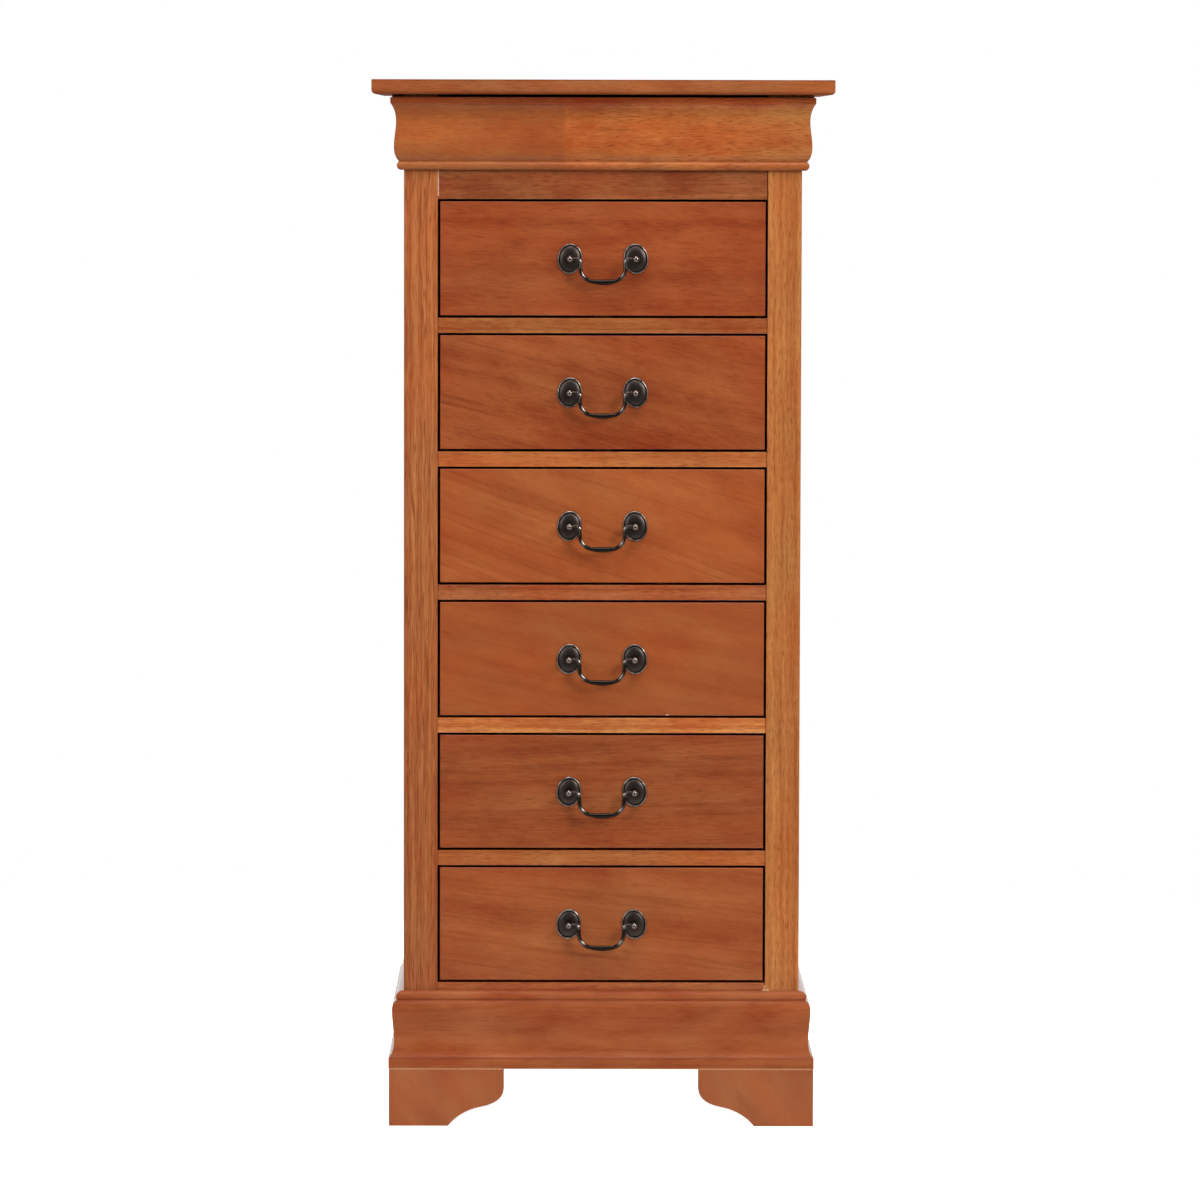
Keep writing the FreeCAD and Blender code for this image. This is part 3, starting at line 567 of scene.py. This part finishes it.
# Posts and bails: rubbed bright on the balls, on the elbows and where the arms bend into the grip, and
# darkest along the grip
bail_brass, spot, _ = antiqued_brass("antiqued_brass_bails", "#3f3631", 0.22)
tree = bail_brass.node_tree
ball_tip = edges("drawer_6_pull_posts")[0][1] - 1000 * bail_pivot[1]
bail_foot = edges("drawer_6_bail")[0][2] - 1000 * bail_pivot[2]
ball_radius = 4.3
arm_x = 27.5
wear = 0.0
for centre, reach, most in (
    ((plate_x, ball_tip + ball_radius, 0.0), 9.0, 0.55),
    ((arm_x - 1, -1.0, -1.0), 6.0, 0.7),
    ((arm_x - 4, -2.0, bail_foot + 11), 6.0, 0.4),
):
    near = add(tree, "VectorMath", {"operation": "DISTANCE"}, {0: spot, 1: centre}).outputs["Value"]
    near = add(tree, "MapRange", {"interpolation_type": "SMOOTHSTEP"}, {
        "Value": near, "From Max": reach, "To Min": most, "To Max": 0.0,
    })
    wear = add(tree, "Math", {"operation": "MAXIMUM"}, {0: near, 1: wear})
rub(bail_brass, wear)
grip = (0.0, -2.0, bail_foot + 2)
near = add(tree, "VectorMath", {"operation": "DISTANCE"}, {0: spot, 1: grip}).outputs["Value"]
near = add(tree, "MapRange", {}, {
    "Value": near, "From Min": 12.0, "From Max": 24.0, "To Min": 0.6, "To Max": 0.0,
})
cover(bail_brass, near, blackened)
for number in drawer_numbers:
    dress(plate_brass, f"drawer_{number}_pull_plates")
    dress(bail_brass, f"drawer_{number}_pull_posts", f"drawer_{number}_bail")


# Crown drawer
# The front length of the crown moulding is glued to a shallow drawer, which hides behind it.
# The moulding is a darker board on the left, spliced to a golden one with more pores.
crown_ground = "#a75b2c"
crown_wood = stained_wood(
    "stained_cherry_crown", crown_ground, LEVEL, heart=1450, depth=70, taper=0.04,
    wave=9.0, contrast=1.5, rings=0.06, streaks=0.06, warmth=1.6, pores=0.65, seed=10.0)
# Left of the splice the tone is darker and evener, and grows paler again towards the corner
splice = -47.0
pale_corner = -150.0
darker_board = (-FAR, splice)
darker_tone = (0.90, 0.92, 1.0)
patch(crown_wood, darker_tone, soft=4.0, x=darker_board)
patch(crown_wood, tint(linear(crown_ground), darker_tone), soft=4.0, x=darker_board, amount=0.4, blend="MIX")
patch(crown_wood, (0.93, 0.88, 0.86), soft=3.0, x=darker_board)
patch(crown_wood, (1.10, 1.18, 1.20), soft=60.0, x=(-FAR, pale_corner))
# The fillet at its head is darker and redder, painted shade from the top's overhang, with a painted highlight
# line below it on the right, and the stain gathered under it in two runs
fillet_foot = edges("crown_front")[1][2] - 9
# Painted shade on the fillet under the top
patch(crown_wood, (1.04, 0.77, 0.67), soft=1.5, z=(fillet_foot, FAR), ragged=1.5)
# Painted highlight line below the fillet
patch(
    crown_wood, (1.14, 1.18, 1.18), soft=1.5, x=(splice, FAR), z=(fillet_foot - 4, fillet_foot - 1),
    ragged=1.0)
for run in ((-170.0, -50.0), (168.0, 210.0)):
    patch(crown_wood, (0.60, 0.50, 0.45), soft=0.5, x=run, z=(fillet_foot - 0.2, fillet_foot + 1), ragged=0.5)
dress(crown_wood, "crown_front")
dress(box_wood, "crown_drawer_box")
dress(ply_wood, "crown_drawer_bottom")


# Studio
# A pale floor that fades into a white surround, a broad key light on the right, a weak fill on the left, a
# large soft light overhead and a low one behind the chest.
scene = bpy.context.scene
scene.view_settings.view_transform = "Standard"
world = bpy.data.worlds.new("white_surround")
scene.world = world
world.use_nodes = True
tree = world.node_tree
tree.nodes.clear()
way = add(tree, "TexCoord", {}, {}).outputs["Generated"]
way = add(tree, "SeparateXYZ", {}, {"Vector": way}).outputs
# White paper behind the chest and at the sides, and a dimmer room above it and in front of it
glow = add(tree, "MapRange", {"interpolation_type": "SMOOTHSTEP"}, {
    "Value": way["Z"], "From Min": 0.12, "From Max": 0.55, "To Min": 1.0, "To Max": 0.25,
})
room = add(tree, "MapRange", {"interpolation_type": "SMOOTHSTEP"}, {
    "Value": way["Y"], "From Min": -0.6, "From Max": 0.1, "To Min": 0.2, "To Max": 1.0,
})
glow = add(tree, "Math", {"operation": "MULTIPLY"}, {0: glow, 1: room})
# It lights the chest half as strongly as it is mirrored, and is seen as white all round
path = add(tree, "LightPath", {}, {}).outputs
share = add(tree, "MapRange", {}, {"Value": path["Is Diffuse Ray"], "To Min": 1.0, "To Max": 0.5})
glow = add(tree, "Math", {"operation": "MULTIPLY"}, {0: glow, 1: share})
glow = add(tree, "Math", {"operation": "MAXIMUM"}, {0: glow, 1: path["Is Camera Ray"]})
white = (1.0, 1.0, 1.0, 1.0)
surround = add(tree, "Background", {}, {"Color": white, "Strength": glow})
add(tree, "OutputWorld", {}, {"Surface": surround})

reach = 4.0
floor_mesh = bpy.data.meshes.new("floor")
corners = [(-reach, -reach, 0), (reach, -reach, 0), (reach, reach, 0), (-reach, reach, 0)]
floor_mesh.from_pydata(corners, [], [(0, 1, 2, 3)])
floor = bpy.data.objects.new("floor", floor_mesh)
scene.collection.objects.link(floor)
# Matt white paper that glows for the eye alone, so that it stays pale and lights nothing
floor_paint, tree = new_material("pale_paper")
place = add(tree, "TexCoord", {}, {}).outputs["Object"]
radius = add(tree, "VectorMath", {"operation": "LENGTH"}, {0: place}).outputs["Value"]
fade = add(tree, "MapRange", {"interpolation_type": "SMOOTHSTEP"}, {
    "Value": radius, "From Min": 0.6, "From Max": 2.4,
})
seen = add(tree, "LightPath", {}, {}).outputs["Is Camera Ray"]
shine = add(tree, "Math", {"operation": "MULTIPLY"}, {0: seen, 1: 0.95})
paint = add(tree, "BsdfPrincipled", {}, {
    "Base Color": linear("#f4f3f1"), "Roughness": 0.8, "Specular IOR Level": 0.1,
    "Emission Color": white, "Emission Strength": shine,
})
clear = add(tree, "BsdfTransparent", {}, {})
both = add(tree, "MixShader", {}, {0: fade, 1: paint, 2: clear})
add(tree, "OutputMaterial", {}, {"Surface": both})
floor_mesh.materials.append(floor_paint)

lit_point = Vector((0.0, 0.0, 0.75))
for name, place, size, watts in (
    ("key", (2.4, -2.4, 2.2), 1.5, 86.0),
    ("fill", (-2.4, -2.6, 2.0), 2.2, 49.0),
    ("overhead", (0.0, -1.2, 3.4), 2.4, 69.0),
    ("behind", (-1.0, 3.2, 1.6), 2.4, 45.0),
):
    lamp = bpy.data.lights.new(name, "AREA")
    lamp.shape = "DISK"
    lamp.size = size
    lamp.energy = watts
    light = bpy.data.objects.new(name, lamp)
    light.location = place
    light.rotation_euler = (lit_point - light.location).to_track_quat("-Z", "Y").to_euler()
    light.visible_camera = False
    light.visible_glossy = name != "behind"
    scene.collection.objects.link(light)


# Camera
# A long lens from a little above the middle, 8 m away, so that uprights stay nearly parallel.
# It is rolled a fraction of a degree.
distance = 8.0
metres_per_pixel = 0.0012281  # at the front of the posts, in an image 1200 pixels wide
picture_width = 1200
front_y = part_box("post_left")[0].y
eye = Vector((-0.044, front_y - distance, 1.22))
target = Vector((-0.00256, front_y, 0.65045))
roll = 0.00235
camera_data = bpy.data.cameras.new("camera")
camera_data.sensor_width = 36.0
camera_data.clip_end = 200.0
camera_data.lens = camera_data.sensor_width * distance / (metres_per_pixel * picture_width)
camera = bpy.data.objects.new("camera", camera_data)
camera.location = eye
aim = (target - eye).to_track_quat("-Z", "Y") @ Quaternion((0, 0, 1), roll)
camera.rotation_euler = aim.to_euler()
scene.collection.objects.link(camera)
scene.camera = camera
